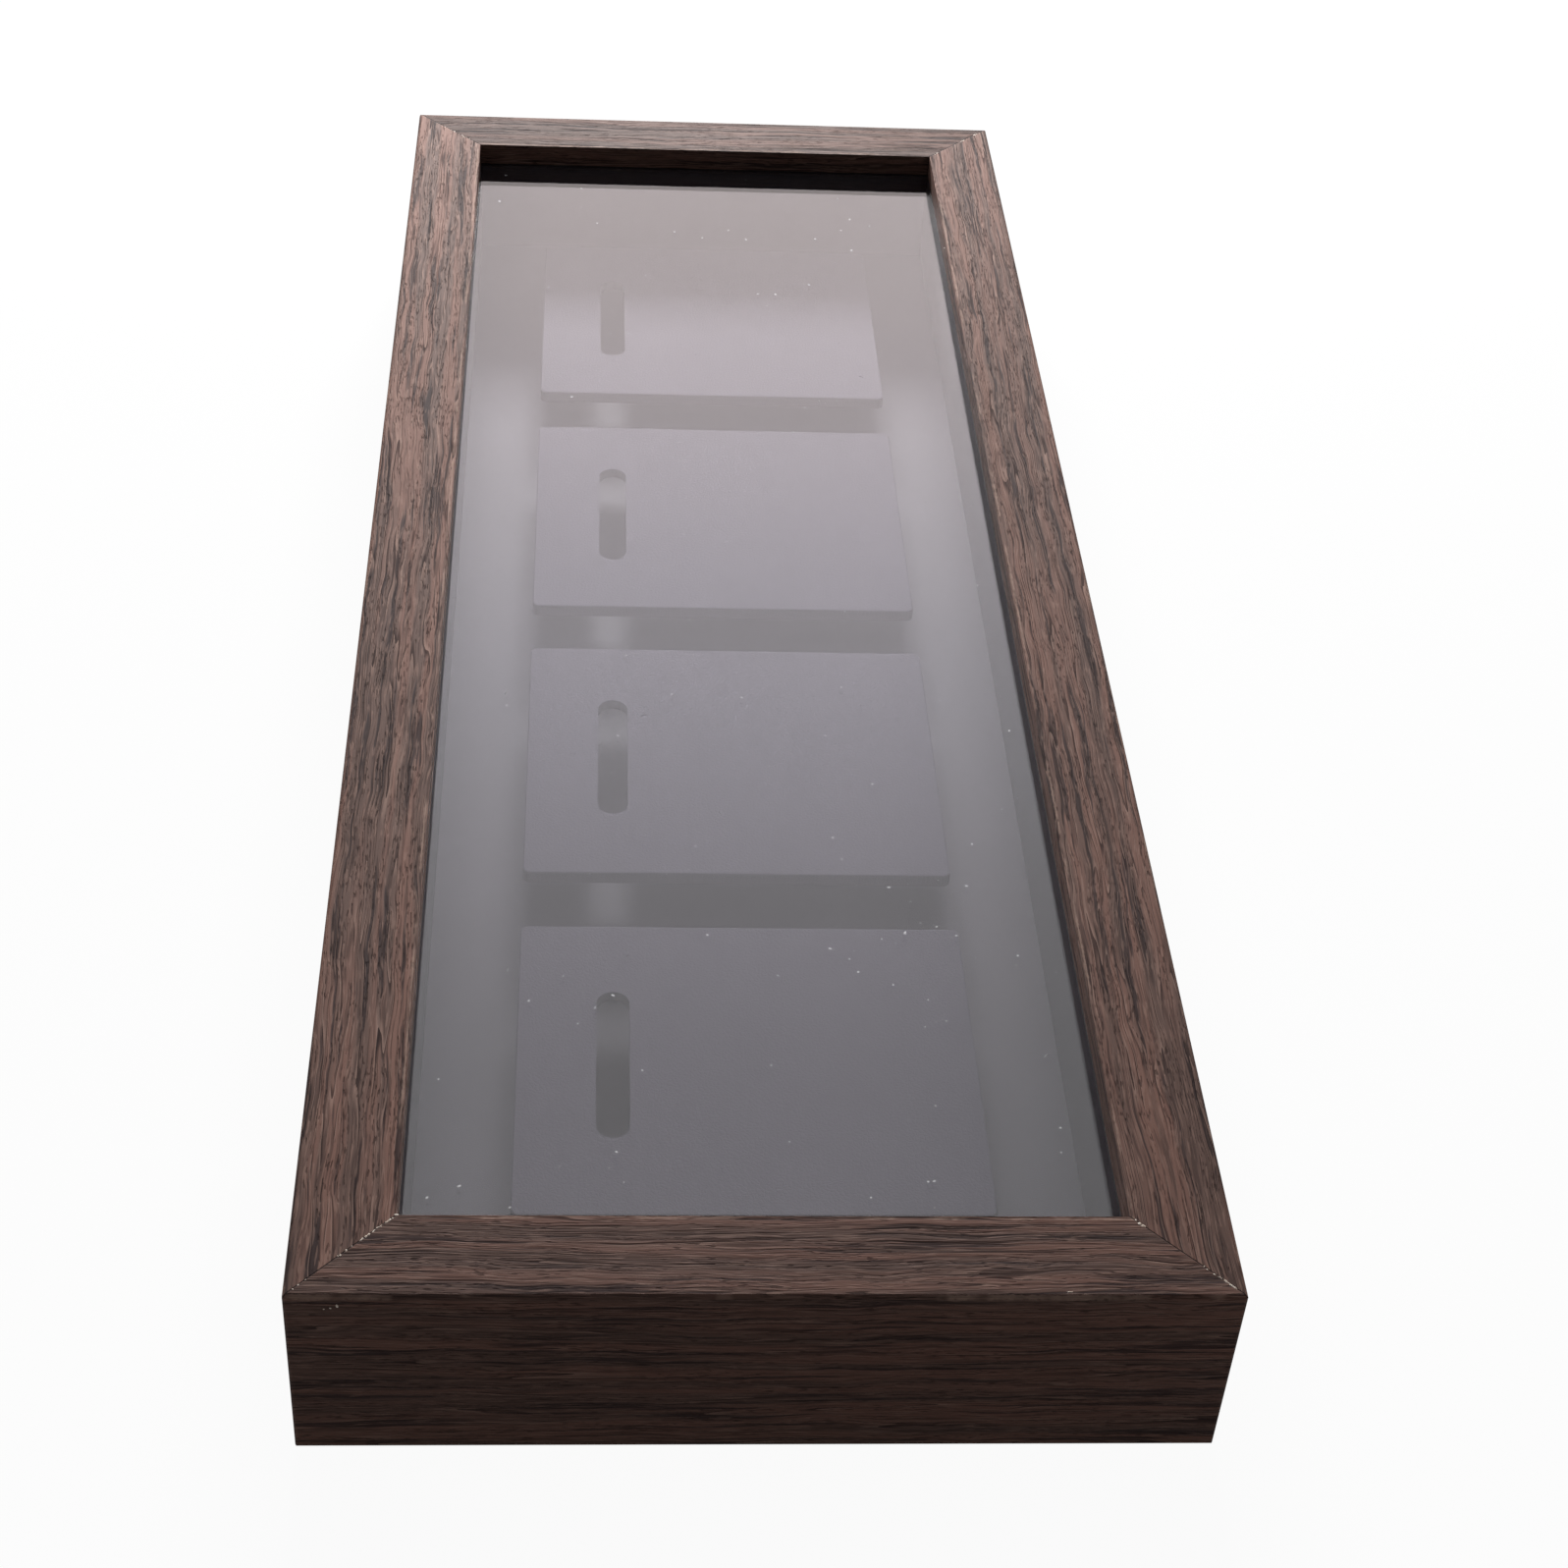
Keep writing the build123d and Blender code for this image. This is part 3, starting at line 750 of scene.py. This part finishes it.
def make_world():
    """A white room that throws only a little light of its own on the case."""
    world = bpy.data.worlds.new("room")
    world.use_nodes = True
    bpy.context.scene.world = world
    w = Tree(world.node_tree)
    background = w.tree.nodes["Background"]
    w.put(background.inputs["Color"], (1, 1, 1, 1))
    w.put(background.inputs["Strength"], w.fade(background_share(w), 0.0, 1.0, AMBIENT, 1.0))


def make_lamp(name, place, target, width, height, radiance):
    """A rectangular lamp of this brightness, white being 1, that the camera doesn't see."""
    light = bpy.data.lights.new(name, "AREA")
    light.shape, light.size, light.size_y = "RECTANGLE", width, height
    light.energy = math.pi * width * height * radiance
    lamp = bpy.data.objects.new(name, light)
    lamp.location = place
    lamp.rotation_mode = "QUATERNION"
    lamp.rotation_quaternion = (Vector(target) - Vector(place)).to_track_quat("-Z", "Y")
    lamp.visible_camera = False
    bpy.context.scene.collection.objects.link(lamp)
    return light


# The softbox stands upright, and its corners are given in X and Z
SOFTBOX_Y = 1.2
SOFTBOX_LOW, SOFTBOX_HIGH = (-0.48, 0.54), (0.62, 2.16)
SOFTBOX_RADIANCE = 1.40
LOW_TINT, HIGH_TINT = (1, 0.82, 0.81, 1), (0.96, 0.89, 0.99, 1)

# The window is low enough that the pane mirrors none of it to the camera
WINDOW_PLACE = (0.0, 1.15, 0.43)
WINDOW_WIDTH, WINDOW_HEIGHT = 0.34, 0.15
WINDOW_RADIANCE = 262.0
CASE_MIDDLE = (0, 0, FACE)


def make_softbox():
    """The upright white panel behind the far end that the pane mirrors, brightest low in its middle."""
    (left, low), (right, high) = SOFTBOX_LOW, SOFTBOX_HIGH
    x, z = (left + right) / 2, (low + high) / 2
    width, height = right - left, high - low
    light = make_lamp("softbox", (x, SOFTBOX_Y, z), (x, 0, z), width, height, SOFTBOX_RADIANCE)
    light.use_nodes = True
    t = Tree(light.node_tree)
    # across and up run from 0 to 1 over the panel
    across, up, _ = t.split(t.node("NewGeometry", {}).outputs["Parametric"])
    aside = t.math("ABSOLUTE", t.math("SUBTRACT", across, 0.5))
    sides = t.fade(aside, 0.10, 0.40, 1.0, 0.0)
    foot = t.fade(up, 0.0, 0.07, 0.95, 1.0)
    top = t.fade(up, 0.05, 0.62, 1.0, 0.19)
    emission = t.tree.nodes["Emission"]
    t.put(emission.inputs["Strength"], t.math("MULTIPLY", sides, t.math("MULTIPLY", foot, top)))
    t.put(emission.inputs["Color"], t.mix(t.fade(up, 0.0, 0.35), LOW_TINT, HIGH_TINT))


def make_lights():
    """The softbox, and a low bright lamp under it that throws the plaques' shadows."""
    make_softbox()
    make_lamp("window", WINDOW_PLACE, CASE_MIDDLE, WINDOW_WIDTH, WINDOW_HEIGHT, WINDOW_RADIANCE)


# The photograph's view of the case
CAMERA_PLACE = (-0.0399, -0.6333, 0.4945)
CAMERA_TURN = (50.23, -2.90, -2.37)
CAMERA_LENS, CAMERA_SENSOR = 63.4, 36.0
CAMERA_SHIFT = 0.015


def make_camera():
    data = bpy.data.cameras.new("camera")
    data.lens, data.sensor_width, data.shift_x = CAMERA_LENS, CAMERA_SENSOR, CAMERA_SHIFT
    camera = bpy.data.objects.new("camera", data)
    camera.location = CAMERA_PLACE
    camera.rotation_euler = [math.radians(turn) for turn in CAMERA_TURN]
    bpy.context.scene.collection.objects.link(camera)
    bpy.context.scene.camera = camera


make_camera()
paint_nodes()
make_mitre_chips()
make_pane_dust()
make_floor()
make_world()
make_lights()
bpy.context.scene.view_settings.view_transform = "Standard"
